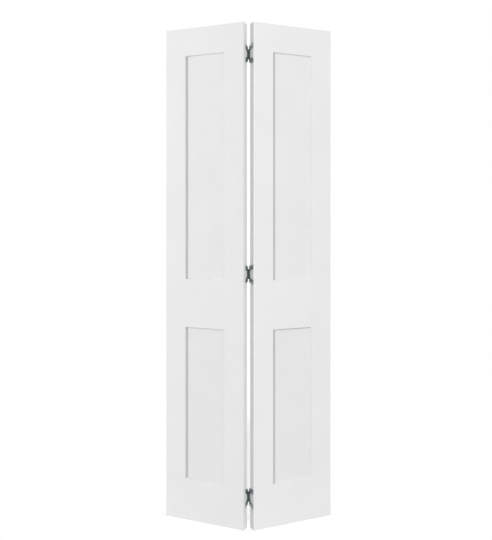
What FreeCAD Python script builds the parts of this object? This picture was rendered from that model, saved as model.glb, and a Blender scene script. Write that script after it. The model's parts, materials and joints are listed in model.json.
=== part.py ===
import FreeCAD
import Part
import math
import os

# A two-leaf bifold closet door, standing partly folded with its fold towards the front.
# Lengths are millimetres and angles are degrees.
# Every leaf piece is drawn flat in a hinge frame first: the hinge axis is the Z axis, the leaf runs
# along +X from it, and the front face looks along -Y. The right leaf is then swung back by half the
# fold, and the left leaf is swung the same way and mirrored.

# Leaf sizes
LEAF_WIDTH = 349.0
LEAF_HEIGHT = 2007.0
LEAF_THICKNESS = 35.0
SKIN_THICKNESS = 3.2
EDGE_EASE = 1.0

# Moulded face, measured between the sharp corners of the recesses
HINGE_STILE_FACE = 85.0
OUTER_STILE_FACE = 91.0
TOP_RAIL_FACE = 112.0
UPPER_PANEL_HEIGHT = 911.0
LOCK_RAIL_FACE = 198.0
BOTTOM_RAIL_FACE = 170.0
PANEL_RECESS = 8.0
PANEL_SLOPE_RUN = 1.0
PANEL_ARRIS_RADIUS = 1.2
PANEL_FOOT_RADIUS = 1.5

# Wooden frame inside the leaf
FRAME_STILE_WIDTH = 28.0
TOP_RAIL_HEIGHT = 57.0
BOTTOM_RAIL_HEIGHT = 70.0
KNOB_BLOCK_HEIGHT = 120.0

# Paper honeycomb core
CORE_CELL = 145.0
CORE_WALL = 1.2
CORE_CLEARANCE = 0.5

# Bores for the track pivots, in the rails beside the outer stile
PIVOT_BORE_RADIUS = 4.76
PIVOT_BORE_DEPTH = 38.0
PIVOT_FROM_STILE = 10.0

# Fold: the angle between the leaves' planes, 0 when the door is flat
REST_FOLD = 47.0

# Hinge barrel
HINGE_END_DISTANCE = 120.0
MIDDLE_HINGE_RAISE = 5.5
AXIS_BEHIND_BACK = 7.5
PIN_RADIUS = 2.0
PIN_CLEARANCE = 0.05
BARREL_LENGTH = 40.0
KNUCKLE_COUNT = 3
KNUCKLE_GAP = 0.4
ROLL_ANGLE = 290.0

# Hinge plates: two ears, reaching past the barrel's ends, joined by a spine beside it
PLATE_THICKNESS = 1.9
OUTER_PLATE_HEIGHT = 81.0
OUTER_PLATE_SETBACK = 1.5
INNER_PLATE_HEIGHT = 73.0
INNER_PLATE_SETBACK = 18.5
EAR_HEIGHT = 19.0
EAR_TAPER = 6.0
EAR_CORNER_RADIUS = 4.0
EAR_FROM_AXIS = 0.6
EAR_FROM_BARREL = 0.6
SPINE_WIDTH = 4.0
NOTCH_TAPER = 5.0
NOTCH_CORNER_RADIUS = 6.0

# Countersunk wood screws, whose heads are as deep as a plate is thick
SCREW_RADIUS = 1.75
SCREW_HEAD_RADIUS = 3.35
SCREW_LENGTH = 19.0
SCREW_TIP_LENGTH = 4.0
SCREW_TIP_RADIUS = 0.3
SCREW_CLEARANCE = 0.1
PILOT_CLEARANCE = 0.05
PILOT_EXTRA_DEPTH = 0.5
CROSS_WIDTH = 0.9
CROSS_SPAN = 3.6
CROSS_DEPTH = 1.3
SCREW_SIDES = 12

# Values worked out from the sizes above
KNUCKLE_INNER = PIN_RADIUS + PIN_CLEARANCE
KNUCKLE_OUTER = KNUCKLE_INNER + PLATE_THICKNESS
KNUCKLE_ROOM = KNUCKLE_OUTER + KNUCKLE_GAP
LEAF_NEAR = KNUCKLE_OUTER
LEAF_FAR = LEAF_NEAR + LEAF_WIDTH
FACE_BACK = -AXIS_BEHIND_BACK
FACE_FRONT = FACE_BACK - LEAF_THICKNESS
FACE_MIDDLE = (FACE_FRONT + FACE_BACK) / 2
FRAME_FRONT = FACE_FRONT + SKIN_THICKNESS
FRAME_BACK = FACE_BACK - SKIN_THICKNESS
FRAME_DEPTH = FRAME_BACK - FRAME_FRONT
BAY_NEAR = LEAF_NEAR + FRAME_STILE_WIDTH
BAY_FAR = LEAF_FAR - FRAME_STILE_WIDTH
PANEL_NEAR = LEAF_NEAR + HINGE_STILE_FACE
PANEL_FAR = LEAF_FAR - OUTER_STILE_FACE
UPPER_PANEL_TOP = LEAF_HEIGHT - TOP_RAIL_FACE
UPPER_PANEL_FOOT = UPPER_PANEL_TOP - UPPER_PANEL_HEIGHT
LOWER_PANEL_TOP = UPPER_PANEL_FOOT - LOCK_RAIL_FACE
LOWER_PANEL_FOOT = BOTTOM_RAIL_FACE
PANEL_SPANS = ((LOWER_PANEL_FOOT, LOWER_PANEL_TOP), (UPPER_PANEL_FOOT, UPPER_PANEL_TOP))
KNOB_BLOCK_MIDDLE = (LOWER_PANEL_TOP + UPPER_PANEL_FOOT) / 2
KNOB_BLOCK_FOOT = KNOB_BLOCK_MIDDLE - KNOB_BLOCK_HEIGHT / 2
KNOB_BLOCK_TOP = KNOB_BLOCK_MIDDLE + KNOB_BLOCK_HEIGHT / 2
HALF_FOLD = REST_FOLD / 2
HINGE_HEIGHTS = {
    "bottom": HINGE_END_DISTANCE,
    "middle": LEAF_HEIGHT / 2 + MIDDLE_HINGE_RAISE,
    "top": LEAF_HEIGHT - HINGE_END_DISTANCE,
}
HINGE_PLATES = {
    "right": (OUTER_PLATE_HEIGHT, LEAF_THICKNESS + AXIS_BEHIND_BACK - OUTER_PLATE_SETBACK),
    "left": (INNER_PLATE_HEIGHT, LEAF_THICKNESS + AXIS_BEHIND_BACK - INNER_PLATE_SETBACK),
}

UP = FreeCAD.Vector(0, 0, 1)
INTO_LEAF = FreeCAD.Vector(1, 0, 0)
HINGE_AXIS = FreeCAD.Vector(0, 0, 0)
CUT_MARGIN = 5.0
FINDING_TOLERANCE = 1e-3


def vector(x, y, z=0.0):
    return FreeCAD.Vector(x, y, z)


def box(x_span, y_span, z_span):
    low = vector(x_span[0], y_span[0], z_span[0])
    return Part.makeBox(x_span[1] - low.x, y_span[1] - low.y, z_span[1] - low.z, low)


def rounded_corner(before, corner, after, radius):
    """The start, middle and end of the arc that rounds a corner and is tangent to both its sides."""
    back = (before - corner).normalize()
    ahead = (after - corner).normalize()
    half_angle = back.getAngle(ahead) / 2
    reach = radius / math.tan(half_angle)
    middle = corner + (back + ahead).normalize() * (radius / math.sin(half_angle) - radius)
    return corner + back * reach, middle, corner + ahead * reach


def rounded_wire(corners):
    """A closed wire through (point, radius) corners. A radius of 0 leaves a corner sharp."""
    points = [point for point, _ in corners]
    arcs = []
    for index, (corner, radius) in enumerate(corners):
        after = points[(index + 1) % len(points)]
        arcs.append(rounded_corner(points[index - 1], corner, after, radius))
    edges = []
    for index, (start, middle, end) in enumerate(arcs):
        if corners[index][1] > 0:
            edges.append(Part.Arc(start, middle, end).toShape())
        next_start = arcs[(index + 1) % len(arcs)][0]
        edges.append(Part.LineSegment(end, next_start).toShape())
    return Part.Wire(edges)


def extruded(wire, along):
    return Part.Face(wire).extrude(along)


def flat_face(points):
    return Part.Face(Part.makePolygon(points + points[:1]))


def flat_sided(outlines):
    """A solid with flat sides that runs through outlines of equally many corners."""
    faces = [flat_face(outlines[0]), flat_face(outlines[-1])]
    for lower, upper in zip(outlines, outlines[1:]):
        for index in range(len(lower)):
            faces.append(flat_face([lower[index - 1], lower[index], upper[index], upper[index - 1]]))
    solid = Part.Solid(Part.Shell(faces))
    if solid.Volume < 0:
        solid.reverse()
    return solid


def screw_form(stations, y, z):
    """A many-sided shaft, cone or hole along +X through (x, radius) stations, for the small screws."""
    outlines = []
    for x, radius in stations:
        angles = [2 * math.pi * step / SCREW_SIDES for step in range(SCREW_SIDES)]
        outlines.append([vector(x, y + radius * math.cos(a), z + radius * math.sin(a)) for a in angles])
    return flat_sided(outlines)


def panel_outline(z_span, inset, y):
    """The corners of a panel's outline at one depth, moved in from the recess's sharp corner."""
    x_low, x_high = PANEL_NEAR + inset, PANEL_FAR - inset
    z_low, z_high = z_span[0] + inset, z_span[1] - inset
    corners = [(x_low, z_low), (x_high, z_low), (x_high, z_high), (x_low, z_high)]
    return [vector(x, y, z) for x, z in corners]


def recess(z_span):
    """The space that a sunk panel leaves open in front of it, with sloped sides."""
    mouth = panel_outline(z_span, 0, FACE_FRONT)
    floor = panel_outline(z_span, PANEL_SLOPE_RUN, FACE_FRONT + PANEL_RECESS)
    return flat_sided([mouth, floor])


def boss(z_span):
    """The skin's hidden side behind a recess, one skin thickness outside the recess all round."""
    wall = SKIN_THICKNESS * math.hypot(PANEL_SLOPE_RUN, PANEL_RECESS) / PANEL_RECESS
    outlines = []
    for depth in (SKIN_THICKNESS / 2, PANEL_RECESS + SKIN_THICKNESS):
        inset = PANEL_SLOPE_RUN * depth / PANEL_RECESS - wall
        outlines.append(panel_outline(z_span, inset, FACE_FRONT + depth))
    return flat_sided(outlines)


def edges_between(skin, y, x_low, x_high):
    """The edges that lie at one depth and within one stretch of the leaf's width."""
    found = []
    for edge in skin.Edges:
        ends = [vertex.Point for vertex in edge.Vertexes]
        at_depth = all(abs(end.y - y) < FINDING_TOLERANCE for end in ends)
        if at_depth and all(x_low - FINDING_TOLERANCE < end.x < x_high + FINDING_TOLERANCE for end in ends):
            found.append(edge)
    return found


def front_skin():
    """The moulded sheet: a flat slab with eased long edges and a softly edged sunk field for each panel."""
    skin = box((LEAF_NEAR, LEAF_FAR), (FACE_FRONT, FRAME_FRONT), (0, LEAF_HEIGHT))
    skin = skin.fuse([boss(span) for span in PANEL_SPANS])
    skin = skin.cut([recess(span) for span in PANEL_SPANS]).removeSplitter()
    feet = edges_between(skin, FACE_FRONT + PANEL_RECESS, PANEL_NEAR, PANEL_FAR)
    skin = skin.makeFillet(PANEL_FOOT_RADIUS, feet)
    skin = skin.makeFillet(PANEL_ARRIS_RADIUS, edges_between(skin, FACE_FRONT, PANEL_NEAR, PANEL_FAR))
    long_edges = []
    for x in (LEAF_NEAR, LEAF_FAR):
        long_edges += edges_between(skin, FACE_FRONT, x, x)
    return skin.makeFillet(EDGE_EASE, long_edges)


def back_skin():
    return front_skin().mirror(vector(0, FACE_MIDDLE), vector(0, 1))


def hinge_screw_places(side):
    """The foot of each hinge screw's axis on the hinge plane, as (y, z) by hinge."""
    height, reach = HINGE_PLATES[side]
    y = -(reach + SPINE_WIDTH + KNUCKLE_OUTER) / 2
    offset = (height - EAR_HEIGHT) / 2 - EAR_TAPER / 4
    return {name: [(y, z - offset), (y, z + offset)] for name, z in HINGE_HEIGHTS.items()}


def hinge_stile(side):
    stile = box((LEAF_NEAR, BAY_NEAR), (FRAME_FRONT, FRAME_BACK), (0, LEAF_HEIGHT))
    radius = SCREW_RADIUS + PILOT_CLEARANCE
    stations = [(0, radius), (KNUCKLE_INNER + SCREW_LENGTH + PILOT_EXTRA_DEPTH, radius)]
    pilots = []
    for places in hinge_screw_places(side).values():
        pilots += [screw_form(stations, y, z) for y, z in places]
    return stile.cut(pilots)


def outer_stile():
    return box((BAY_FAR, LEAF_FAR), (FRAME_FRONT, FRAME_BACK), (0, LEAF_HEIGHT))


def bay_block(z_span):
    """A block of frame timber that fills the bay between the two stiles."""
    return box((BAY_NEAR, BAY_FAR), (FRAME_FRONT, FRAME_BACK), z_span)


def pivot_bore(z, inward):
    centre = vector(BAY_FAR - PIVOT_FROM_STILE, FACE_MIDDLE, z)
    return Part.makeCylinder(PIVOT_BORE_RADIUS, PIVOT_BORE_DEPTH, centre, UP * inward)


def top_rail():
    return bay_block((LEAF_HEIGHT - TOP_RAIL_HEIGHT, LEAF_HEIGHT)).cut(pivot_bore(LEAF_HEIGHT, -1))


def bottom_rail():
    return bay_block((0, BOTTOM_RAIL_HEIGHT)).cut(pivot_bore(0, 1))


def knob_block():
    return bay_block((KNOB_BLOCK_FOOT, KNOB_BLOCK_TOP))


def hexagon(x, z, width):
    """One open cell of the core, drawn on the frame's front plane."""
    radius = width / math.sqrt(3)
    corners = []
    for step in range(6):
        angle = math.radians(60 * step + 30)
        corners.append(vector(x + radius * math.cos(angle), FRAME_FRONT, z + radius * math.sin(angle)))
    return flat_face(corners)


def honeycomb(z_span):
    """Paper stretched to whole cells across the bay, and crushed thinner where the skins are sunk."""
    x_low, x_high = BAY_NEAR + CORE_CLEARANCE, BAY_FAR - CORE_CLEARANCE
    z_low, z_high = z_span[0] + CORE_CLEARANCE, z_span[1] - CORE_CLEARANCE
    middle_x, middle_z = (x_low + x_high) / 2, (z_low + z_high) / 2
    columns = max(1, round((x_high - x_low) / (CORE_CELL + CORE_WALL)))
    across = (x_high - x_low) / columns
    rise = across * math.sqrt(3) / 2
    rows = math.ceil((z_high - z_low) / rise / 2) + 1
    cells = []
    for row in range(-rows, rows + 1):
        for column in range(-columns, columns + 1):
            x = middle_x + (column + 0.5 * (row % 2)) * across
            cells.append(hexagon(x, middle_z + row * rise, across - CORE_WALL))
    sheet = flat_face([
        vector(x_low, FRAME_FRONT, z_low),
        vector(x_high, FRAME_FRONT, z_low),
        vector(x_high, FRAME_FRONT, z_high),
        vector(x_low, FRAME_FRONT, z_high),
    ])
    paper = max(sheet.cut(cells).Faces, key=lambda face: face.Area)
    core = paper.extrude(vector(0, FRAME_DEPTH))
    core = core.cut(sunk_fields())
    return max(core.Solids, key=lambda solid: solid.Volume)


def sunk_fields():
    """The space that the sunk panels of both skins take from the core."""
    x_span = (PANEL_NEAR - SKIN_THICKNESS, PANEL_FAR + SKIN_THICKNESS)
    fields = []
    for low, high in PANEL_SPANS:
        for y in (FRAME_FRONT, FRAME_BACK - PANEL_RECESS):
            z_span = (low - SKIN_THICKNESS, high + SKIN_THICKNESS)
            fields.append(box(x_span, (y, y + PANEL_RECESS), z_span))
    return fields


def upper_core():
    return honeycomb((KNOB_BLOCK_TOP, LEAF_HEIGHT - TOP_RAIL_HEIGHT))


def lower_core():
    return honeycomb((BOTTOM_RAIL_HEIGHT, KNOB_BLOCK_FOOT))


def knuckle_spans(side):
    """The stretches of the barrel that a plate's own knuckles take, and those of the other plate."""
    pitch = BARREL_LENGTH / KNUCKLE_COUNT
    spans = []
    for index in range(KNUCKLE_COUNT):
        low = -BARREL_LENGTH / 2 + index * pitch
        spans.append((low, low + pitch))
    outer, inner = spans[0::2], spans[1::2]
    return (outer, inner) if side == "right" else (inner, outer)


def knuckle(z_span):
    """One rolled knuckle: the plate's end bent round the pin, tangent to the plate."""
    low = z_span[0] + KNUCKLE_GAP / 2
    high = z_span[1] - KNUCKLE_GAP / 2
    bent = Part.makeCylinder(KNUCKLE_OUTER, high - low, vector(0, 0, low), UP, ROLL_ANGLE)
    return bent.cut(Part.makeCylinder(KNUCKLE_INNER, high - low, vector(0, 0, low), UP))


def plate_outline(height, reach):
    """The flat plate in the plane of the leaf's edge: a spine at the barrel and two flared ears.

    A slit at each end of the barrel lets the knuckles be rolled clear of the ears."""
    spine_end = KNUCKLE_OUTER + SPINE_WIDTH
    barrel_end = BARREL_LENGTH / 2
    ear_foot = barrel_end + EAR_FROM_BARREL
    tip = height / 2
    notch = tip - EAR_HEIGHT
    half = [
        (0, barrel_end, 0),
        (KNUCKLE_ROOM, barrel_end, 0),
        (KNUCKLE_ROOM, ear_foot, 0),
        (EAR_FROM_AXIS, ear_foot, 0),
        (EAR_FROM_AXIS, tip - EAR_TAPER, EAR_CORNER_RADIUS),
        (reach, tip, EAR_CORNER_RADIUS),
        (reach, notch, EAR_CORNER_RADIUS),
        (spine_end, notch - NOTCH_TAPER, NOTCH_CORNER_RADIUS),
    ]
    full = half + [(out, -z, radius) for out, z, radius in reversed(half)]
    return rounded_wire([(vector(KNUCKLE_INNER, -out, z), radius) for out, z, radius in full])


def screw_seat(y, z):
    """The countersunk hole that a screw takes in a plate."""
    mouth = SCREW_HEAD_RADIUS + SCREW_CLEARANCE
    neck = SCREW_RADIUS + SCREW_CLEARANCE
    return screw_form([(KNUCKLE_INNER, mouth), (KNUCKLE_OUTER, neck)], y, z)


def hinge_plate(side, name):
    height, reach = HINGE_PLATES[side]
    own, other = knuckle_spans(side)
    plate = extruded(plate_outline(height, reach), vector(PLATE_THICKNESS, 0))
    root = (-KNUCKLE_ROOM, CUT_MARGIN)
    across = (KNUCKLE_INNER - CUT_MARGIN, KNUCKLE_OUTER + CUT_MARGIN)
    notches = []
    for low, high in other:
        notches.append(box(across, root, (low - KNUCKLE_GAP / 2, high + KNUCKLE_GAP / 2)))
    plate = plate.cut(notches)
    plate = plate.fuse([knuckle(span) for span in own]).removeSplitter()
    plate.translate(UP * HINGE_HEIGHTS[name])
    return plate.cut([screw_seat(y, z) for y, z in hinge_screw_places(side)[name]])


def hinge_pin(name):
    """A fixed pin as long as the barrel, with no head."""
    return Part.makeCylinder(PIN_RADIUS, BARREL_LENGTH, UP * (HINGE_HEIGHTS[name] - BARREL_LENGTH / 2))


def screw(y, z):
    """A countersunk cross-head wood screw whose head lies flush in its plate."""
    tip = KNUCKLE_INNER + SCREW_LENGTH
    body = screw_form([
        (KNUCKLE_INNER, SCREW_HEAD_RADIUS),
        (KNUCKLE_OUTER, SCREW_RADIUS),
        (tip - SCREW_TIP_LENGTH, SCREW_RADIUS),
        (tip, SCREW_TIP_RADIUS),
    ], y, z)
    half_width = CROSS_WIDTH / 2
    half_span = CROSS_SPAN / 2
    into_head = (KNUCKLE_INNER, KNUCKLE_INNER + CROSS_DEPTH)
    level = box(into_head, (y - half_span, y + half_span), (z - half_width, z + half_width))
    upright = box(into_head, (y - half_width, y + half_width), (z - half_span, z + half_span))
    return body.cut([level, upright])


def hinge_screws(side, name):
    return Part.makeCompound([screw(y, z) for y, z in hinge_screw_places(side)[name]])


def axis_depth():
    """How far forward of the origin the hinge axis stands, so that the folded door is centred."""
    swing = math.radians(HALF_FOLD)
    front = LEAF_NEAR * math.sin(swing) + FACE_FRONT * math.cos(swing)
    back = LEAF_FAR * math.sin(swing) + FACE_BACK * math.cos(swing)
    return -(front + back) / 2


def placed(shape, side):
    """Swings a flat-drawn piece to the resting fold, on the right or mirrored to the left."""
    shape = shape.copy()
    shape.rotate(HINGE_AXIS, UP, HALF_FOLD)
    if side == "left":
        shape = shape.mirror(HINGE_AXIS, INTO_LEAF)
    shape.translate(vector(0, axis_depth()))
    return shape


def leaf_pieces(side):
    """Every named piece that belongs to one leaf."""
    pieces = {
        "front_skin": front_skin(),
        "back_skin": back_skin(),
        "hinge_stile": hinge_stile(side),
        "outer_stile": outer_stile(),
        "top_rail": top_rail(),
        "bottom_rail": bottom_rail(),
        "knob_block": knob_block(),
        "upper_core": upper_core(),
        "lower_core": lower_core(),
    }
    named = {f"{side}_{piece}": placed(shape, side) for piece, shape in pieces.items()}
    for name in HINGE_HEIGHTS:
        named[f"{name}_hinge_{side}_plate"] = placed(hinge_plate(side, name), side)
        named[f"{name}_hinge_{side}_screws"] = placed(hinge_screws(side, name), side)
    return named


def main():
    pieces = {**leaf_pieces("left"), **leaf_pieces("right")}
    for name in HINGE_HEIGHTS:
        pieces[f"{name}_hinge_pin"] = placed(hinge_pin(name), "right")
    os.makedirs("parts", exist_ok=True)
    for node, shape in pieces.items():
        shape.exportStep(f"parts/{node}.step")


if __name__ == "__main__":
    main()
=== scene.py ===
import json
import math

import bmesh
import bpy
from mathutils import Matrix, Vector
from mathutils.geometry import delaunay_2d_cdt


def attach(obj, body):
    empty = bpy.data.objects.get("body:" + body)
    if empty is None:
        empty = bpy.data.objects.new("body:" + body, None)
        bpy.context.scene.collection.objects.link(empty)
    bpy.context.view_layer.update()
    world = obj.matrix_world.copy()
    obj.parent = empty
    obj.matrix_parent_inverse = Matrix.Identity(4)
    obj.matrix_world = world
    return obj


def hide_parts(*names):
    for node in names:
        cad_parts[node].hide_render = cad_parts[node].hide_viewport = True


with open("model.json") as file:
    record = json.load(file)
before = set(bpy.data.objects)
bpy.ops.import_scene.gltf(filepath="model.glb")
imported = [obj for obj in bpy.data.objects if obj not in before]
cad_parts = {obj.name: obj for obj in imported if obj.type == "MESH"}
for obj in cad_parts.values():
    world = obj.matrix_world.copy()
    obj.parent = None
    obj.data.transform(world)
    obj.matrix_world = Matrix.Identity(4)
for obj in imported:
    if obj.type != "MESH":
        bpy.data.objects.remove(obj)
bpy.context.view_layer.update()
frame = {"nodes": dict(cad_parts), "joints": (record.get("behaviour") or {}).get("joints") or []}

# A two-leaf bifold closet door. Lengths are metres and angles radians, unless a comment says otherwise.
# Skins, hinge plates, pins and screws are drawn in a leaf's flat frame, as the CAD model's are: the hinge
# axis is the Z axis, the leaf runs along +X from it and the front face looks along -Y. They are then swung
# to the resting fold, and mirrored for the left leaf.

MM = 0.001

# Panels of a moulded skin
HINGE_STILE_FACE = 85 * MM
OUTER_STILE_FACE = 91 * MM
TOP_RAIL_FACE = 112 * MM
UPPER_PANEL_HEIGHT = 911 * MM
LOCK_RAIL_FACE = 198 * MM
BOTTOM_RAIL_FACE = 170 * MM
PANEL_RECESS = 8 * MM
PANEL_SLOPE_RUN = 1.0 * MM
PANEL_ARRIS_RADIUS = 1.2 * MM
PANEL_FOOT_RADIUS = 1.5 * MM
EDGE_EASE = 1.0 * MM

# Painted shade on a skin's faces, from 0 for the full primer tone to 1 for the darkest shade
PAINTED_SHADE_LAYER = "painted_shade"
SHADED_WALLS = {"left": "near", "right": "far"}
WALL_SHADE = 1.0
TOP_SHADE = {"lower": 1.0, "upper": 0.0}
FIELD_SHADE = {"lower": 0.13, "upper": 0.08}
EDGE_SHADE = {"left": 0.0, "right": 1.0}

# Hinge plates, rolled round their pins
PIN_RADIUS = 2.0 * MM
PIN_CLEARANCE = 0.05 * MM
PIN_DOME = 0.5 * MM
PIN_SEGMENTS = 32
PLATE_THICKNESS = 1.9 * MM
PLATE_CHAMFER = 0.25 * MM
BARREL_LENGTH = 40 * MM
KNUCKLE_COUNT = 3
KNUCKLE_GAP = 0.4 * MM
ROLL_ANGLE = math.radians(290)
ROLL_STEPS = 30
PLATE_HEIGHTS = {"right": 81 * MM, "left": 73 * MM}
PLATE_SETBACKS = {"right": 1.5 * MM, "left": 18.5 * MM}
EAR_HEIGHT = 19 * MM
EAR_TAPER = 6 * MM
EAR_CORNER_RADIUS = 4 * MM
EAR_FROM_AXIS = 0.6 * MM
EAR_FROM_BARREL = 0.6 * MM
SPINE_WIDTH = 4 * MM
NOTCH_TAPER = 5 * MM
NOTCH_CORNER_RADIUS = 6 * MM

# Screws
SCREW_RADIUS = 1.75 * MM
SCREW_HEAD_RADIUS = 3.35 * MM
SCREW_CLEARANCE = 0.1 * MM
SCREW_LENGTH = 19 * MM
SCREW_TIP_LENGTH = 4 * MM
SCREW_TIP_RADIUS = 0.3 * MM
SCREW_SEGMENTS = 32
THREAD_PITCH = 1.4 * MM
THREAD_DEPTH = 0.35 * MM
THREAD_STEPS = 8
CROSS_SPAN = 3.6 * MM
CROSS_WIDTH = 0.9 * MM
CROSS_DEPTH = 1.3 * MM
CROSS_FOOT_SHARE = 0.55
CROSS_NARROWING = 0.5

# Fineness of curves and shading, and how outlines are filled
ARC_STEPS = 6
SMOOTH_ANGLE = math.radians(35)
MERGE_DISTANCE = 1e-7
MITRE_LIMIT = 0.3
FILL_INSIDE = 1
FILL_TOLERANCE = 1e-9

# Noise patterns: cells to a metre, octaves, and scale along x, y and z, where under 1 draws the cells out
EVEN = (1, 1, 1)
ALONG_STILE = (1, 1, 0.04)
ALONG_RAIL = (0.05, 0.3, 1)
PATTERNS = {
    "primer_clouds": (6, 3, EVEN),
    "primer_gloss": (25, 3, EVEN),
    "primer_spray": (650, 2, EVEN),
    "shade_streaks": (90, 3, (1, 1, 0.1)),
    "board_waves": (120, 2, EVEN),
    "board_fibres": (900, 3, EVEN),
    "stile_rings": (60, 4, ALONG_STILE),
    "stile_fibres": (900, 2, ALONG_STILE),
    "rail_rings": (60, 4, ALONG_RAIL),
    "rail_fibres": (900, 2, ALONG_RAIL),
    "paper_fibres": (300, 6, (1, 1, 0.3)),
    "zinc_clouds": (220, 4, EVEN),
    "zinc_brushing": (2500, 2, (1, 1, 0.06)),
}

# The range that most of a pattern's values lie in
PATTERN_LOW = 0.3
PATTERN_HIGH = 0.7

# Linear colours, either a dark and a light one or (pattern value, colour) stops
SKIN_PRIMER = ((0.800, 0.800, 0.800), (0.822, 0.822, 0.822))
# The stiles' primer is a little darker than the skins', as painted shade on the leaves' edges
STILE_PRIMER_AND_SHADE = ((0.765, 0.765, 0.765), (0.786, 0.786, 0.786))
# The tone of the painted shade that darkens marked faces of the skins
PAINTED_SHADE_COAT = ((0.59, 0.59, 0.59), (0.63, 0.63, 0.63))
BROWN_PAPER = ((0.38, 0.26, 0.15), (0.52, 0.38, 0.24))
PLATE_ZINC = ((0.382, 0.418, 0.427), (0.496, 0.541, 0.552))
SCREW_ZINC = ((0.258, 0.281, 0.287), (0.345, 0.373, 0.381))
# The barrel's darker tone is painted shade
BARREL_SHADE_ZINC = ((0.074, 0.087, 0.091), (0.140, 0.159, 0.165))
BOARD_STOPS = [
    (0.3, (0.16, 0.09, 0.045)),
    (0.5, (0.27, 0.165, 0.09)),
    (0.7, (0.38, 0.25, 0.15)),
]
PINE_STOPS = [
    (0.32, (0.62, 0.42, 0.22)),
    (0.45, (0.72, 0.53, 0.31)),
    (0.55, (0.66, 0.46, 0.25)),
    (0.7, (0.77, 0.60, 0.38)),
]

# Gloss: the least and most roughness, and the primer's share of full shine
PRIMER_ROUGHNESS = (0.56, 0.68)
PINE_ROUGHNESS = (0.55, 0.75)
PAPER_ROUGHNESS = (0.75, 0.9)
PLATE_ROUGHNESS = (0.40, 0.54)
SCREW_ROUGHNESS = (0.24, 0.38)
PRIMER_SHINE = 0.2

# Depth of fine relief, and the depth that still counts as a sawn end
SPRAY_RELIEF = 0.03 * MM
WAVE_RELIEF = 0.04 * MM
PAINTED_GRAIN_RELIEF = 0.06 * MM
PLANED_GRAIN_RELIEF = 0.1 * MM
PAPER_RELIEF = 0.1 * MM
BRUSHING_RELIEF = 0.01 * MM
SAWN_EDGE = 0.02 * MM

# Sockets of a colour mix
MIX_FIRST = 6
MIX_SECOND = 7
MIX_RESULT = 2

# Photographed view: rows and focal length in pixels, sensor in millimetres. The camera is fitted to the
# door's corners.
IMAGE_HEIGHT = 540
HORIZON_ROW = 217.7
FOCAL_PIXELS = 684.8
SENSOR = 36.0
CAMERA_PLACE = Vector((-0.0195, -2.7853, 1.2341))
CAMERA_TURN = -0.0034

# Surroundings: light levels are shares of full light on a white surface
AMBIENT = 0.67
AMBIENT_TILT = 0.1
FLOOR_BOUNCE = 0.8
FLOOR_SHADED = 0.8
FLOOR_GLOW = 0.335
FLOOR_REACH = 2.5

# A key lamp for each leaf: bearing in degrees, to the right of straight in front, and level
KEYS = {"left": (-70, 0.51), "right": (-36, 0.655)}
KEY_DISTANCE = 9.0
KEY_HEIGHT = 3.2
KEY_RADIUS = 0.5

# Far lamps: bearing and elevation in degrees, level, and the pieces they light
LAMPS = {
    "strip_fill": (15, 10, 0.37, ["left_hinge_stile", "right_hinge_stile"]),
    "corner_fill": (75, 10, 0.35, ["left_front_moulded_skin"]),
    "floor_light": (0, 55, 0.21, ["studio_floor"]),
    "back_key": (145, 25, 0.30, ["left_back_moulded_skin", "right_back_moulded_skin"]),
}
LAMP_SPREAD = 0.15

# Words in the names of pieces
SIDES = ("left", "right")
HINGES = ("bottom", "middle", "top")

# What the frame says
JOINT = frame["joints"][0]
HALF_FOLD = math.radians(-JOINT["range_deg"][0]) / 2
HINGE_AXIS = Vector(JOINT["pos_m"])


def leaf_matrix(side):
    """From a leaf's flat frame to the resting fold."""
    turn = Matrix.Rotation(HALF_FOLD, 4, "Z")
    mirror = Matrix.Scale(-1, 4, Vector((1, 0, 0))) if side == "left" else Matrix.Identity(4)
    return Matrix.Translation(HINGE_AXIS) @ mirror @ turn


def leaf_box(node, side):
    """A node's lowest and highest corners in its leaf's flat frame."""
    back = leaf_matrix(side).inverted()
    points = [back @ vertex.co for vertex in frame["nodes"][node].data.vertices]
    low = Vector([min(point[axis] for point in points) for axis in range(3)])
    high = Vector([max(point[axis] for point in points) for axis in range(3)])
    return low, high


SKIN_LOW, SKIN_HIGH = leaf_box("right_front_skin", "right")
FRAME_LOW, FRAME_HIGH = leaf_box("right_hinge_stile", "right")
LEAF_NEAR = SKIN_LOW.x
LEAF_FAR = SKIN_HIGH.x
LEAF_HEIGHT = SKIN_HIGH.z
FACE_FRONT = SKIN_LOW.y
FACE_MIDDLE = (FRAME_LOW.y + FRAME_HIGH.y) / 2
SKIN_THICKNESS = FRAME_LOW.y - FACE_FRONT

# Worked out from the sizes above
UPPER_TOP = LEAF_HEIGHT - TOP_RAIL_FACE
UPPER_FOOT = UPPER_TOP - UPPER_PANEL_HEIGHT
PANEL_SPANS = {
    "lower": (BOTTOM_RAIL_FACE, UPPER_FOOT - LOCK_RAIL_FACE),
    "upper": (UPPER_FOOT, UPPER_TOP),
}
KNUCKLE_INNER = PIN_RADIUS + PIN_CLEARANCE
KNUCKLE_MIDDLE = KNUCKLE_INNER + PLATE_THICKNESS / 2
KNUCKLE_OUTER = KNUCKLE_INNER + PLATE_THICKNESS
KNUCKLE_ROOM = KNUCKLE_OUTER + KNUCKLE_GAP


# Shape helpers

def rounded_path(corners):
    """Points along an open path of 2-D (point, radius) corners, with an arc at each corner with a radius."""
    path = []
    for index, (corner, radius) in enumerate(corners):
        if radius == 0:
            path.append(corner)
            continue
        back = (corners[index - 1][0] - corner).normalized()
        ahead = (corners[index + 1][0] - corner).normalized()
        half = back.angle(ahead) / 2
        centre = corner + (back + ahead).normalized() * radius / math.sin(half)
        start = corner + back * radius / math.tan(half) - centre
        end = corner + ahead * radius / math.tan(half) - centre
        turn = start.angle_signed(end)
        for step in range(ARC_STEPS + 1):
            path.append(centre + Matrix.Rotation(-turn * step / ARC_STEPS, 2) @ start)
    return path


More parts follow.
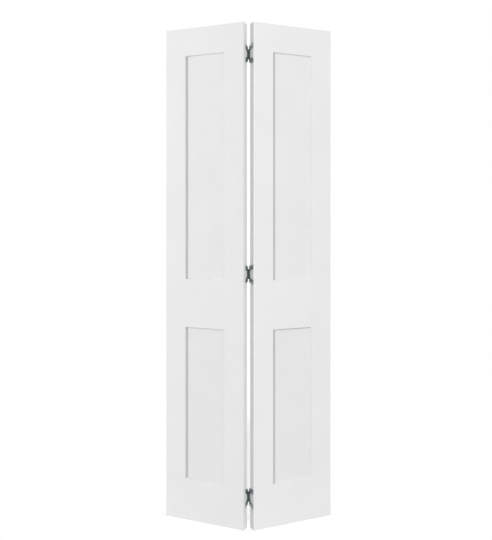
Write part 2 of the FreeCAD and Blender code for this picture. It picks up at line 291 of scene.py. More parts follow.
def inset_loop(points, distance):
    """A closed counter-clockwise loop moved inwards by a distance."""
    moved = []
    for index, point in enumerate(points):
        before = (point - points[index - 1]).normalized()
        after = (points[(index + 1) % len(points)] - point).normalized()
        inward = Vector((-before.y - after.y, before.x + after.x)).normalized()
        mitre = max(MITRE_LIMIT, inward.dot(Vector((-before.y, before.x))))
        moved.append(point + inward * distance / mitre)
    return moved


def circle(centre, radius, segments):
    """Points round a 2-D circle, counter-clockwise."""
    angles = [2 * math.pi * step / segments for step in range(segments)]
    return [centre + radius * Vector((math.cos(a), math.sin(a))) for a in angles]


def inside(point, loop):
    """Whether a 2-D point lies inside a closed loop."""
    found = False
    for index, high in enumerate(loop):
        low = loop[index - 1]
        if (low.y > point.y) != (high.y > point.y):
            crossing = low.x + (point.y - low.y) * (high.x - low.x) / (high.y - low.y)
            found ^= point.x < crossing
    return found


def fill(outline, holes):
    """Triangles, as indices into outline + holes, that fill an outline but not its holes."""
    loops = [outline, *holes]
    points = [point for loop in loops for point in loop]
    edges = []
    first = 0
    for loop in loops:
        edges += [(first + i, first + (i + 1) % len(loop)) for i in range(len(loop))]
        first += len(loop)
    verts, _, faces, originals, _, _ = delaunay_2d_cdt(points, edges, [], FILL_INSIDE, FILL_TOLERANCE)
    triangles = []
    for face in faces:
        centre = sum((verts[i] for i in face), Vector((0, 0))) / len(face)
        if inside(centre, outline) and not any(inside(centre, hole) for hole in holes):
            triangles.append([originals[i][0] for i in face])
    return triangles


def add_loop(mesh, points):
    """New vertices at the points."""
    return [mesh.verts.new(point) for point in points]


def bridge(mesh, lower, upper):
    """A closed band of quads between two loops of equally many vertices. Returns the quads."""
    return [mesh.faces.new((lower[index - 1], lower[index], upper[index], upper[index - 1]))
            for index in range(len(lower))]


def turned(mesh, profile, segments, place):
    """A closed band round an axis through (along, radius) points. Returns its first and last loops."""
    loops = [add_loop(mesh, [place(along, point) for point in circle(Vector((0, 0)), radius, segments)])
             for along, radius in profile]
    for lower, upper in zip(loops, loops[1:]):
        bridge(mesh, lower, upper)
    return loops[0], loops[-1]


def add_piece(mesh, name, side, material, node):
    """Makes a bmesh drawn in a leaf's flat frame an object that rides on that leaf and replaces a node."""
    bmesh.ops.remove_doubles(mesh, verts=mesh.verts, dist=MERGE_DISTANCE)
    bmesh.ops.transform(mesh, matrix=leaf_matrix(side), verts=mesh.verts)
    bmesh.ops.recalc_face_normals(mesh, faces=mesh.faces)
    for face in mesh.faces:
        face.smooth = True
    for edge in mesh.edges:
        edge.smooth = edge.is_manifold and edge.calc_face_angle() < SMOOTH_ANGLE
    data = bpy.data.meshes.new(name)
    mesh.to_mesh(data)
    mesh.free()
    data.materials.append(material)
    piece = bpy.data.objects.new(name, data)
    bpy.context.scene.collection.objects.link(piece)
    normals = piece.modifiers.new("even_normals", "WEIGHTED_NORMAL")
    normals.keep_sharp = True
    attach(piece, f"{side}_leaf")
    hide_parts(node)


# Node helpers

def new_material(name):
    """A material with nodes. Returns it, its node tree and its shader."""
    material = bpy.data.materials.new(name)
    material.use_nodes = True
    return material, material.node_tree, material.node_tree.nodes["Principled BSDF"]


def object_place(tree):
    """Where a point lies on its object, in metres."""
    return tree.nodes.new("ShaderNodeTexCoord").outputs["Object"]


def noise(tree, place, pattern):
    """The value of one of PATTERNS at a place."""
    cells, octaves, scale = PATTERNS[pattern]
    mapping = tree.nodes.new("ShaderNodeMapping")
    mapping.inputs["Scale"].default_value = scale
    tree.links.new(place, mapping.inputs["Vector"])
    texture = tree.nodes.new("ShaderNodeTexNoise")
    texture.inputs["Scale"].default_value = cells
    texture.inputs["Detail"].default_value = octaves
    tree.links.new(mapping.outputs["Vector"], texture.inputs["Vector"])
    return texture.outputs["Fac"]


def ramp(tree, value, stops):
    """Colours by a pattern's value, from (value, colour) stops."""
    colours = tree.nodes.new("ShaderNodeValToRGB")
    elements = colours.color_ramp.elements
    for element, (position, colour) in zip(elements, (stops[0], stops[-1])):
        element.position = position
        element.color = (*colour, 1)
    for position, colour in stops[1:-1]:
        elements.new(position).color = (*colour, 1)
    tree.links.new(value, colours.inputs["Fac"])
    return colours.outputs["Color"]


def shades(tree, value, dark, light):
    """Colours from dark to light over a pattern's range."""
    return ramp(tree, value, [(PATTERN_LOW, dark), (PATTERN_HIGH, light)])


def spread(tree, value, low, high):
    """A pattern's value moved from the pattern's range to another one."""
    moved = tree.nodes.new("ShaderNodeMapRange")
    moved.inputs["From Min"].default_value = PATTERN_LOW
    moved.inputs["From Max"].default_value = PATTERN_HIGH
    moved.inputs["To Min"].default_value = low
    moved.inputs["To Max"].default_value = high
    tree.links.new(value, moved.inputs["Value"])
    return moved.outputs["Result"]


def bump(tree, value, depth, under=None):
    """A relief of a real depth, on top of another one if there is one under it."""
    relief = tree.nodes.new("ShaderNodeBump")
    relief.inputs["Distance"].default_value = depth
    tree.links.new(value, relief.inputs["Height"])
    if under is not None:
        tree.links.new(under, relief.inputs["Normal"])
    return relief.outputs["Normal"]


def mix_colours(tree, share, first, second):
    """A colour between two others, the second where the share is 1."""
    mix = tree.nodes.new("ShaderNodeMix")
    mix.data_type = "RGBA"
    tree.links.new(share, mix.inputs["Factor"])
    tree.links.new(first, mix.inputs[MIX_FIRST])
    tree.links.new(second, mix.inputs[MIX_SECOND])
    return mix.outputs[MIX_RESULT]


def mix_shaders(tree, share, first, second):
    """A surface between two others, the second where the share is 1."""
    mix = tree.nodes.new("ShaderNodeMixShader")
    tree.links.new(share, mix.inputs["Fac"])
    tree.links.new(first, mix.inputs[1])
    tree.links.new(second, mix.inputs[2])
    return mix.outputs["Shader"]


def calculated(tree, operation, value, number=0.0):
    """A value after an operation with a fixed number."""
    step = tree.nodes.new("ShaderNodeMath")
    step.operation = operation
    step.inputs[1].default_value = number
    tree.links.new(value, step.inputs[0])
    return step.outputs["Value"]


def end_mask(tree, place):
    """1 on a leaf's sawn top and bottom ends, 0 on the rest."""
    split = tree.nodes.new("ShaderNodeSeparateXYZ")
    tree.links.new(place, split.inputs["Vector"])
    above_middle = calculated(tree, "SUBTRACT", split.outputs["Z"], LEAF_HEIGHT / 2)
    from_middle = calculated(tree, "ABSOLUTE", above_middle)
    return calculated(tree, "GREATER_THAN", from_middle, LEAF_HEIGHT / 2 - SAWN_EDGE)


def barrel_shade_mask(tree, place):
    """1 on the rolled knuckles and pins, where the painted shade goes, fading to 0 on the plates beside them.
    """
    outwards = tree.nodes.new("ShaderNodeVectorMath")
    outwards.operation = "SUBTRACT"
    outwards.inputs[1].default_value = HINGE_AXIS
    tree.links.new(place, outwards.inputs[0])
    level = tree.nodes.new("ShaderNodeVectorMath")
    level.operation = "MULTIPLY"
    level.inputs[1].default_value = (1, 1, 0)
    tree.links.new(outwards.outputs["Vector"], level.inputs[0])
    distance = tree.nodes.new("ShaderNodeVectorMath")
    distance.operation = "LENGTH"
    tree.links.new(level.outputs["Vector"], distance.inputs[0])
    mask = tree.nodes.new("ShaderNodeMapRange")
    mask.inputs["From Min"].default_value = KNUCKLE_ROOM
    mask.inputs["From Max"].default_value = KNUCKLE_ROOM + SPINE_WIDTH / 2
    mask.inputs["To Min"].default_value = 1.0
    mask.inputs["To Max"].default_value = 0.0
    tree.links.new(distance.outputs["Value"], mask.inputs["Value"])
    return mask.outputs["Result"]


# Materials

def add_satin(tree, shader, place):
    """The primer's low, slightly uneven shine."""
    gloss = spread(tree, noise(tree, place, "primer_gloss"), *PRIMER_ROUGHNESS)
    tree.links.new(gloss, shader.inputs["Roughness"])
    shader.inputs["Specular IOR Level"].default_value = PRIMER_SHINE


def painted_board():
    """Sprayed primer over moulded fibreboard: darkened by painted shade where a face is marked so, none on
    the sawn ends.
    """
    material, tree, shader = new_material("primed_skin")
    place = object_place(tree)
    full = shades(tree, noise(tree, place, "primer_clouds"), *SKIN_PRIMER)
    # Painted shade: a darker tone, mixed in as far as a face's shade share goes
    painted_shade_tone = shades(tree, noise(tree, place, "shade_streaks"), *PAINTED_SHADE_COAT)
    shade_share = tree.nodes.new("ShaderNodeAttribute")
    shade_share.attribute_name = PAINTED_SHADE_LAYER
    coat = mix_colours(tree, shade_share.outputs["Fac"], full, painted_shade_tone)
    board = ramp(tree, noise(tree, place, "board_fibres"), BOARD_STOPS)
    colour = mix_colours(tree, end_mask(tree, place), coat, board)
    tree.links.new(colour, shader.inputs["Base Color"])
    spray = bump(tree, noise(tree, place, "primer_spray"), SPRAY_RELIEF)
    waves = bump(tree, noise(tree, place, "board_waves"), WAVE_RELIEF, spray)
    tree.links.new(waves, shader.inputs["Normal"])
    add_satin(tree, shader, place)
    return material


def painted_timber():
    """Sprayed primer over a pine stile, darkened a little as painted shade, with bare end grain on its sawn
    ends.
    """
    material, tree, shader = new_material("primed_stile_with_shade")
    place = object_place(tree)
    coat = shades(tree, noise(tree, place, "primer_clouds"), *STILE_PRIMER_AND_SHADE)
    rings = ramp(tree, noise(tree, place, "stile_rings"), PINE_STOPS)
    colour = mix_colours(tree, end_mask(tree, place), coat, rings)
    tree.links.new(colour, shader.inputs["Base Color"])
    spray = bump(tree, noise(tree, place, "primer_spray"), SPRAY_RELIEF)
    grain = bump(tree, noise(tree, place, "stile_fibres"), PAINTED_GRAIN_RELIEF, spray)
    tree.links.new(grain, shader.inputs["Normal"])
    add_satin(tree, shader, place)
    return material


def bare_pine():
    """Planed pine rails and blocks, with the grain across the leaf."""
    material, tree, shader = new_material("bare_pine")
    place = object_place(tree)
    rings = ramp(tree, noise(tree, place, "rail_rings"), PINE_STOPS)
    fibres = noise(tree, place, "rail_fibres")
    tree.links.new(rings, shader.inputs["Base Color"])
    tree.links.new(spread(tree, fibres, *PINE_ROUGHNESS), shader.inputs["Roughness"])
    tree.links.new(bump(tree, fibres, PLANED_GRAIN_RELIEF), shader.inputs["Normal"])
    return material


def kraft_paper():
    """Brown paper of the honeycomb cores."""
    material, tree, shader = new_material("kraft_paper")
    fibres = noise(tree, object_place(tree), "paper_fibres")
    tree.links.new(shades(tree, fibres, *BROWN_PAPER), shader.inputs["Base Color"])
    tree.links.new(spread(tree, fibres, *PAPER_ROUGHNESS), shader.inputs["Roughness"])
    tree.links.new(bump(tree, fibres, PAPER_RELIEF), shader.inputs["Normal"])
    return material


def zinc_steel(name, zinc, roughness):
    """Plated steel: a clouded tone, darker on the barrel as painted shade, and fine brushing along the
    height.
    """
    material, tree, shader = new_material(name)
    place = object_place(tree)
    clouds = noise(tree, place, "zinc_clouds")
    plating = shades(tree, clouds, *zinc)
    # Painted shade on the barrel
    barrel_shade = shades(tree, clouds, *BARREL_SHADE_ZINC)
    colour = mix_colours(tree, barrel_shade_mask(tree, place), plating, barrel_shade)
    brushing = noise(tree, place, "zinc_brushing")
    tree.links.new(colour, shader.inputs["Base Color"])
    tree.links.new(spread(tree, brushing, *roughness), shader.inputs["Roughness"])
    tree.links.new(bump(tree, brushing, BRUSHING_RELIEF), shader.inputs["Normal"])
    shader.inputs["Metallic"].default_value = 1.0
    return material


SKIN_PAINT = painted_board()
STILE_PAINT = painted_timber()
PINE = bare_pine()
KRAFT = kraft_paper()
HINGE_STEEL = zinc_steel("hinge_zinc", PLATE_ZINC, PLATE_ROUGHNESS)
SCREW_STEEL = zinc_steel("screw_zinc", SCREW_ZINC, SCREW_ROUGHNESS)


# Moulded skins

def front_profile():
    """(inset, depth) points from a panel's rounded arris down its slope to its rounded foot."""
    lead = PANEL_RECESS
    corners = [
        (Vector((-lead, 0)), 0),
        (Vector((0, 0)), PANEL_ARRIS_RADIUS),
        (Vector((PANEL_SLOPE_RUN, PANEL_RECESS)), PANEL_FOOT_RADIUS),
        (Vector((PANEL_SLOPE_RUN + lead, PANEL_RECESS)), 0),
    ]
    return rounded_path(corners)[1:-1]


def hidden_profile():
    """The same on the skin's hidden side, one skin thickness away and with sharp corners."""
    wall = SKIN_THICKNESS * math.hypot(PANEL_SLOPE_RUN, PANEL_RECESS) / PANEL_RECESS
    points = []
    for depth in (SKIN_THICKNESS, PANEL_RECESS + SKIN_THICKNESS):
        points.append(Vector((PANEL_SLOPE_RUN * depth / PANEL_RECESS - wall, depth)))
    return points


def panel_loop(mesh, span, inset, depth):
    """A panel's corners, from the near low one, at an inset from its arris and a depth below the face."""
    near = LEAF_NEAR + HINGE_STILE_FACE + inset
    far = LEAF_FAR - OUTER_STILE_FACE - inset
    low = span[0] + inset
    high = span[1] - inset
    y = FACE_FRONT + depth
    return add_loop(mesh, [(near, y, low), (far, y, low), (far, y, high), (near, y, high)])


def sunk_panel(mesh, side, panel, profile):
    """A panel's walls and field. Returns its outer loop.

    Painted shade darkens one upright wall, the lower panel's top wall, and a little the field."""
    painted_shade = mesh.faces.layers.float[PAINTED_SHADE_LAYER]
    loops = [panel_loop(mesh, PANEL_SPANS[panel], *point) for point in profile]
    for outer, inner in zip(loops, loops[1:]):
        near_wall, _, far_wall, top_wall = bridge(mesh, outer, inner)
        # Painted shade on one upright wall of each panel and on the lower panel's top wall
        shaded_wall = near_wall if SHADED_WALLS[side] == "near" else far_wall
        shaded_wall[painted_shade] = WALL_SHADE
        top_wall[painted_shade] = TOP_SHADE[panel]
    # A little painted shade on the field
    mesh.faces.new(loops[-1])[painted_shade] = FIELD_SHADE[panel]
    return loops[0]


def sunk_sheet(mesh, side, x_edges, profile):
    """One side of a skin between two edges: its flat frame and its sunk panels.

    Returns the columns of vertices up its two edges, and the pairs in line with the panels on its bottom
    and top ends."""
    lower, upper = [sunk_panel(mesh, side, panel, profile) for panel in PANEL_SPANS]
    y = FACE_FRONT + profile[0].y
    heights = [0, lower[0].co.z, lower[3].co.z, upper[0].co.z, upper[3].co.z, LEAF_HEIGHT]
    columns = [add_loop(mesh, [(x, y, z) for z in heights]) for x in x_edges]
    ends = [add_loop(mesh, [(x, y, z) for x in (lower[0].co.x, lower[1].co.x)]) for z in (0, LEAF_HEIGHT)]
    inner_near = [ends[0][0], lower[0], lower[3], upper[0], upper[3], ends[1][0]]
    inner_far = [ends[0][1], lower[1], lower[2], upper[1], upper[2], ends[1][1]]
    for row in range(len(heights) - 1):
        mesh.faces.new((columns[0][row], inner_near[row], inner_near[row + 1], columns[0][row + 1]))
        mesh.faces.new((inner_far[row], columns[1][row], columns[1][row + 1], inner_far[row + 1]))
        is_rail = row % 2 == 0
        if is_rail:
            mesh.faces.new((inner_near[row], inner_far[row], inner_far[row + 1], inner_near[row + 1]))
    return columns, ends


def eased_edge(mesh, column, x, outward):
    """The rounded long edge beside a column. Returns its columns, from the given one outwards."""
    columns = [column]
    for step in range(1, ARC_STEPS + 1):
        angle = math.pi / 2 * step / ARC_STEPS
        across = x + outward * EDGE_EASE * (math.sin(angle) - 1)
        y = FACE_FRONT + EDGE_EASE * (1 - math.cos(angle))
        last = columns[-1]
        added = add_loop(mesh, [(across, y, vertex.co.z) for vertex in column])
        for row in range(len(column) - 1):
            mesh.faces.new((last[row], added[row], added[row + 1], last[row + 1]))
        columns.append(added)
    return columns


def add_skin(side, face):
    """A moulded skin: two sunk panels, eased long edges, a hidden side and sawn ends."""
    mesh = bmesh.new()
    painted_shade = mesh.faces.layers.float.new(PAINTED_SHADE_LAYER)
    eased = (LEAF_NEAR + EDGE_EASE, LEAF_FAR - EDGE_EASE)
    front, front_ends = sunk_sheet(mesh, side, eased, front_profile())
    hidden, hidden_ends = sunk_sheet(mesh, side, (LEAF_NEAR, LEAF_FAR), hidden_profile())
    near = eased_edge(mesh, front[0], LEAF_NEAR, -1)
    far = eased_edge(mesh, front[1], LEAF_FAR, 1)
    # Painted shade on the right skin's hinge-side edge
    mesh.faces.new([*near[-1], *reversed(hidden[0])])[painted_shade] = EDGE_SHADE[side]
    mesh.faces.new([*far[-1], *reversed(hidden[1])])
    for end, row in ((0, 0), (1, -1)):
        rim = [column[row] for column in reversed(near)]
        rim += front_ends[end]
        rim += [column[row] for column in far]
        rim += [hidden[1][row], *reversed(hidden_ends[end]), hidden[0][row]]
        mesh.faces.new(rim)
    if face == "back":
        flip = Matrix.Translation((0, 2 * FACE_MIDDLE, 0)) @ Matrix.Scale(-1, 4, Vector((0, 1, 0)))
        bmesh.ops.transform(mesh, matrix=flip, verts=mesh.verts)
    name = f"{side}_{face}_moulded_skin"
    add_piece(mesh, name, side, SKIN_PAINT, f"{side}_{face}_skin")


# Hinges

def knuckle_spans(side):
    """The stretches of the barrel that a plate's knuckles take."""
    pitch = BARREL_LENGTH / KNUCKLE_COUNT
    spans = []
    for index in range(KNUCKLE_COUNT):
        low = index * pitch - BARREL_LENGTH / 2
        spans.append((low + KNUCKLE_GAP / 2, low + pitch - KNUCKLE_GAP / 2))
    return spans[0::2] if side == "right" else spans[1::2]


def ear_half(side):
    """Half of a plate's outline, from the barrel's end round an ear to the spine, as (out, up, radius)."""
    reach = -FACE_FRONT - PLATE_SETBACKS[side]
    ear_foot = BARREL_LENGTH / 2 + EAR_FROM_BARREL
    spine_end = KNUCKLE_OUTER + SPINE_WIDTH
    tip = PLATE_HEIGHTS[side] / 2
    notch = tip - EAR_HEIGHT
    return [
        (KNUCKLE_ROOM, ear_foot, 0),
        (EAR_FROM_AXIS, ear_foot, 0),
        (EAR_FROM_AXIS, tip - EAR_TAPER, EAR_CORNER_RADIUS),
        (reach, tip, EAR_CORNER_RADIUS),
        (reach, notch, EAR_CORNER_RADIUS),
        (spine_end, notch - NOTCH_TAPER, NOTCH_CORNER_RADIUS),
    ]


def blank(side):
    """A plate's flat blank: its counter-clockwise outline, and the indices along both sides of each tab.

    A point is (along the roll, up). The ears lie on the negative side, and the tabs that become knuckles
    on the positive side."""
    half = ear_half(side)
    corners = [(Vector((-out, up)), radius) for out, up, radius in half]
    corners += [(Vector((-out, -up)), radius) for out, up, radius in reversed(half)]
    outline = rounded_path(corners)
    steps = [ROLL_ANGLE * KNUCKLE_MIDDLE * step / ROLL_STEPS for step in range(ROLL_STEPS + 1)]
    tabs = []
    for low, high in knuckle_spans(side):
        outline.append(Vector((-KNUCKLE_ROOM, low)))
        first = len(outline)
        outline += [Vector((along, low)) for along in steps]
        outline += [Vector((along, high)) for along in reversed(steps)]
        outline.append(Vector((-KNUCKLE_ROOM, high)))
        lower = range(first, first + len(steps))
        upper = range(first + 2 * len(steps) - 1, first + len(steps) - 1, -1)
        tabs.append((lower, upper))
    return outline, tabs


def rolled(point, height):
    """A point of the blank, at a height over its middle surface, after its tabs are rolled round the pin."""
    radius = KNUCKLE_MIDDLE + height
    if point.x <= 0:
        return Vector((radius, point.x, point.y))
    angle = point.x / KNUCKLE_MIDDLE
    return Vector((radius * math.cos(angle), radius * math.sin(angle), point.y))


def screw_places(side, hinge):
    """Where a plate's screws stand, as (along the blank, up) from the hinge's middle, and that middle."""
    low, high = leaf_box(f"{hinge}_hinge_{side}_screws", side)
    along = (low.y + high.y) / 2
    middle = (low.z + high.z) / 2
    offset = (high.z - low.z) / 2 - SCREW_HEAD_RADIUS
    return [Vector((along, -offset)), Vector((along, offset))], middle


def plate_face(mesh, outline, holes, tabs, height):
    """One broad face of a plate, rolled. Returns the vertices of its outline and of its holes."""
    loops = [add_loop(mesh, [rolled(point, height) for point in loop]) for loop in (outline, *holes)]
    in_tabs = {index for lower, upper in tabs for index in (*lower[1:], *upper[1:])}
    flat = [index for index in range(len(outline)) if index not in in_tabs]
    verts = [loops[0][index] for index in flat] + [vertex for loop in loops[1:] for vertex in loop]
    for triangle in fill([outline[index] for index in flat], holes):
        mesh.faces.new([verts[index] for index in triangle])
    for lower, upper in tabs:
        for step in range(ROLL_STEPS):
            quad = (lower[step], lower[step + 1], upper[step + 1], upper[step])
            mesh.faces.new([loops[0][index] for index in quad])
    return loops


def add_hinge_plate(side, hinge):
    """A steel blank with countersunk holes and softened edges, its tabs rolled into knuckles."""
    outline, tabs = blank(side)
    softened = inset_loop(outline, PLATE_CHAMFER)
    places, middle = screw_places(side, hinge)
    half = PLATE_THICKNESS / 2
    mesh = bmesh.new()
    faces = []
    for height, screw_radius in ((-half, SCREW_HEAD_RADIUS), (half, SCREW_RADIUS)):
        holes = [circle(place, screw_radius + SCREW_CLEARANCE, SCREW_SEGMENTS) for place in places]
        faces.append(plate_face(mesh, softened, holes, tabs, height))
    rims = [add_loop(mesh, [rolled(point, height) for point in outline])
            for height in (PLATE_CHAMFER - half, half - PLATE_CHAMFER)]
    bands = [faces[0][0], *rims, faces[1][0]]
    for lower, upper in (*zip(bands, bands[1:]), *zip(faces[0][1:], faces[1][1:])):
        bridge(mesh, lower, upper)
    bmesh.ops.translate(mesh, verts=mesh.verts, vec=(0, 0, middle))
    name = f"{hinge}_hinge_{side}_rolled_plate"
    add_piece(mesh, name, side, HINGE_STEEL, f"{hinge}_hinge_{side}_plate")


def add_hinge_pin(hinge):
    """A pin with domed ends."""
    node = f"{hinge}_hinge_pin"
    low, high = leaf_box(node, "right")
    angles = [math.pi / 2 * step / ARC_STEPS for step in range(ARC_STEPS)]
    dome = [(math.sin(angle), math.cos(angle)) for angle in angles]
    upper = [(high.z - PIN_DOME + PIN_DOME * rise, PIN_RADIUS * share) for rise, share in dome]
    lower = [(low.z + PIN_DOME - PIN_DOME * rise, PIN_RADIUS * share) for rise, share in reversed(dome)]
    mesh = bmesh.new()
    for end in turned(mesh, lower + upper, PIN_SEGMENTS, lambda along, p: Vector((p.x, p.y, along))):
        mesh.faces.new(end)
    add_piece(mesh, f"{hinge}_hinge_domed_pin", "right", HINGE_STEEL, node)


def cross_outline(share):
    """A cross-shaped recess with arms of a share of their full span, counter-clockwise."""
    arm = CROSS_SPAN / 2 * share
    half = CROSS_WIDTH / 2 * (1 - CROSS_NARROWING * (1 - share))
    quarter = [Vector((arm, -half)), Vector((arm, half)), Vector((half, half))]
    return [Matrix.Rotation(math.pi / 2 * turn, 2) @ point for turn in range(4) for point in quarter]


def thread_point(along, turn):
    """A point on a screw's thread at a depth along it and a share of a turn round it."""
    taper = min(1.0, (SCREW_LENGTH - along) / SCREW_TIP_LENGTH)
    outer = SCREW_TIP_RADIUS + (SCREW_RADIUS - SCREW_TIP_RADIUS) * taper
    phase = (along / THREAD_PITCH + turn) % 1.0
    radius = outer - THREAD_DEPTH * taper * abs(2 * phase - 1)
    angle = 2 * math.pi * turn
    return Vector((radius * math.cos(angle), radius * math.sin(angle)))


def add_screw(mesh, place):
    """A countersunk cross-head wood screw along +X, with its head's face at 0."""
    head = circle(Vector((0, 0)), SCREW_HEAD_RADIUS, SCREW_SEGMENTS)
    neck = circle(Vector((0, 0)), SCREW_RADIUS, SCREW_SEGMENTS)
    cross = cross_outline(1.0)
    rim, mouth = [add_loop(mesh, [place(0, point) for point in loop]) for loop in (head, cross)]
    flat = [*rim, *mouth]
    for triangle in fill(head, [cross]):
        mesh.faces.new([flat[index] for index in triangle])
    floor = add_loop(mesh, [place(CROSS_DEPTH, point) for point in cross_outline(CROSS_FOOT_SHARE)])
    bridge(mesh, mouth, floor)
    mesh.faces.new(floor)
    rings = [rim, add_loop(mesh, [place(PLATE_THICKNESS, point) for point in neck])]
    thread_start = PLATE_THICKNESS + THREAD_PITCH
    thread_length = SCREW_LENGTH - thread_start
    steps = round(thread_length / THREAD_PITCH * THREAD_STEPS)
    turns = [index / SCREW_SEGMENTS for index in range(SCREW_SEGMENTS)]
    for step in range(steps + 1):
        along = thread_start + thread_length * step / steps
        rings.append(add_loop(mesh, [place(along, thread_point(along, turn)) for turn in turns]))
    for lower, upper in zip(rings, rings[1:]):
        bridge(mesh, lower, upper)
    mesh.faces.new(rings[-1])


def add_hinge_screws(side, hinge):
    """Both screws of a plate, as one piece."""
    places, middle = screw_places(side, hinge)
    mesh = bmesh.new()
    for foot in places:
        add_screw(mesh, lambda along, p: Vector((KNUCKLE_INNER + along, foot.x + p.x, middle + foot.y + p.y)))
    name = f"{hinge}_hinge_{side}_cross_screws"
    add_piece(mesh, name, side, SCREW_STEEL, f"{hinge}_hinge_{side}_screws")


for leaf in SIDES:
    for skin_face in ("front", "back"):
        add_skin(leaf, skin_face)
    for hinge_name in HINGES:
        add_hinge_plate(leaf, hinge_name)
        add_hinge_screws(leaf, hinge_name)
for hinge_name in HINGES:
    add_hinge_pin(hinge_name)

# Finishes of the CAD pieces that stay
CAD_FINISHES = {
    "hinge_stile": STILE_PAINT,
    "outer_stile": STILE_PAINT,
    "top_rail": PINE,
    "bottom_rail": PINE,
    "knob_block": PINE,
    "upper_core": KRAFT,
    "lower_core": KRAFT,
}
for leaf in SIDES:
    for part_name, finish in CAD_FINISHES.items():
        node_mesh = frame["nodes"][f"{leaf}_{part_name}"].data
        node_mesh.materials.clear()
        node_mesh.materials.append(finish)


# Stage, light and camera

def eye_share(tree):
    """1 on rays that the camera, a gloss or a glass sees, 0 on the rays that light the door."""
    path = tree.nodes.new("ShaderNodeLightPath")
    share = path.outputs["Is Camera Ray"]
    for ray in ("Is Glossy Ray", "Is Transmission Ray"):
        either = tree.nodes.new("ShaderNodeMath")
        either.operation = "MAXIMUM"
        tree.links.new(share, either.inputs[0])
        tree.links.new(path.outputs[ray], either.inputs[1])
        share = either.outputs["Value"]
    return share


def white_floor():
    """A matt white, with a glow for the eye alone that makes it fully white where nothing shades it."""
    material, tree, shader = new_material("white_floor")
    tree.nodes.remove(shader)
    bounce = tree.nodes.new("ShaderNodeBsdfDiffuse")
    bounce.inputs["Color"].default_value = (FLOOR_BOUNCE, FLOOR_BOUNCE, FLOOR_BOUNCE, 1)
    shaded = tree.nodes.new("ShaderNodeBsdfDiffuse")
    shaded.inputs["Color"].default_value = (FLOOR_SHADED, FLOOR_SHADED, FLOOR_SHADED, 1)
    glow = tree.nodes.new("ShaderNodeEmission")
    glow.inputs["Strength"].default_value = FLOOR_GLOW
    seen = tree.nodes.new("ShaderNodeAddShader")
    tree.links.new(shaded.outputs["BSDF"], seen.inputs[0])
    tree.links.new(glow.outputs["Emission"], seen.inputs[1])
    surface = mix_shaders(tree, eye_share(tree), bounce.outputs["BSDF"], seen.outputs["Shader"])
    tree.links.new(surface, tree.nodes["Material Output"].inputs["Surface"])
    return material


def add_floor():
    """A wide floor that keeps a soft shadow of the door."""
    mesh = bmesh.new()
    bmesh.ops.create_grid(mesh, x_segments=1, y_segments=1, size=FLOOR_REACH)
    data = bpy.data.meshes.new("studio_floor")
    mesh.to_mesh(data)
    mesh.free()
    data.materials.append(white_floor())
    floor = bpy.data.objects.new("studio_floor", data)
    bpy.context.scene.collection.objects.link(floor)


def add_world():
    """White to the eye and in reflections, and a soft light on the rest that is stronger from the right."""
    world = bpy.data.worlds.new("studio")
    bpy.context.scene.world = world
    world.use_nodes = True
    tree = world.node_tree
    split = tree.nodes.new("ShaderNodeSeparateXYZ")
    tree.links.new(tree.nodes.new("ShaderNodeTexCoord").outputs["Generated"], split.inputs["Vector"])
    tilt = tree.nodes.new("ShaderNodeMapRange")
    tilt.inputs["From Min"].default_value = -1.0
    tilt.inputs["From Max"].default_value = 1.0
    tilt.inputs["To Min"].default_value = AMBIENT * (1 - AMBIENT_TILT)
    tilt.inputs["To Max"].default_value = AMBIENT * (1 + AMBIENT_TILT)
    tree.links.new(split.outputs["X"], tilt.inputs["Value"])
    ambient = tree.nodes["Background"]
    ambient.inputs["Color"].default_value = (1, 1, 1, 1)
    tree.links.new(tilt.outputs["Result"], ambient.inputs["Strength"])
    seen = tree.nodes.new("ShaderNodeBackground")
    seen.inputs["Color"].default_value = (1, 1, 1, 1)
    surface = mix_shaders(tree, eye_share(tree), ambient.outputs["Background"], seen.outputs["Background"])
    tree.links.new(surface, tree.nodes["World Output"].inputs["Surface"])


def light_only(lamp, receivers):
    """Keeps a lamp's light to the named pieces."""
    lit = bpy.data.collections.new(f"{lamp.name}_lit")
    for receiver in receivers:
        lit.objects.link(bpy.data.objects[receiver])
    lamp.light_linking.receiver_collection = lit


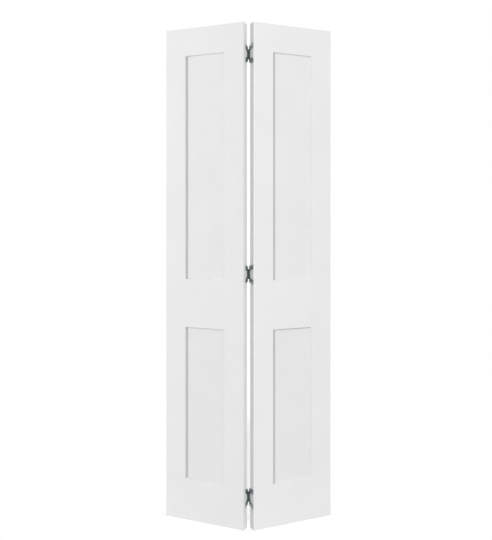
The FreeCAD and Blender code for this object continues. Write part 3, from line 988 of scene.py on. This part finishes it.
def add_key(side, bearing, level):
    """A soft lamp for one leaf's front, which turns with the leaf.

    The level is that on a surface at the leaf's middle that faces the lamp."""
    middle = leaf_matrix(side) @ Vector(((LEAF_NEAR + LEAF_FAR) / 2, FACE_FRONT, LEAF_HEIGHT / 2))
    towards = Vector((math.sin(math.radians(bearing)), -math.cos(math.radians(bearing)), 0))
    place = middle + KEY_DISTANCE * towards
    place.z = KEY_HEIGHT
    data = bpy.data.lights.new(f"{side}_key", "POINT")
    data.shadow_soft_size = KEY_RADIUS
    # The power goes out over a sphere, and a white surface shines with 1 / pi of what falls on it
    data.energy = level * 4 * math.pi ** 2 * (place - middle).length_squared
    lamp = bpy.data.objects.new(f"{side}_key", data)
    lamp.location = place
    lamp.visible_camera = False
    bpy.context.scene.collection.objects.link(lamp)
    light_only(lamp, [f"{side}_front_moulded_skin"])
    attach(lamp, f"{side}_leaf")


def add_lamp(name, bearing, elevation, level, receivers):
    """Soft light on the named pieces from far off. The level is that on a surface that faces the lamp."""
    data = bpy.data.lights.new(name, "SUN")
    data.angle = LAMP_SPREAD
    data.energy = level * math.pi
    lamp = bpy.data.objects.new(name, data)
    lamp.rotation_euler = (math.pi / 2 - math.radians(elevation), 0, math.radians(bearing))
    bpy.context.scene.collection.objects.link(lamp)
    light_only(lamp, receivers)


def add_camera():
    """The photographed view. The camera looks level, and a shift brings its horizon to the right row."""
    data = bpy.data.cameras.new("photo_view")
    data.sensor_width = SENSOR
    data.lens = FOCAL_PIXELS * SENSOR / IMAGE_HEIGHT
    data.shift_y = HORIZON_ROW / IMAGE_HEIGHT - 1 / 2
    camera = bpy.data.objects.new("photo_view", data)
    camera.location = CAMERA_PLACE
    camera.rotation_euler = (math.pi / 2, 0, CAMERA_TURN)
    bpy.context.scene.collection.objects.link(camera)
    bpy.context.scene.camera = camera


add_floor()
add_world()
for leaf, key in KEYS.items():
    add_key(leaf, *key)
for lamp_name, lamp_values in LAMPS.items():
    add_lamp(lamp_name, *lamp_values)
add_camera()
bpy.context.scene.view_settings.view_transform = "Standard"
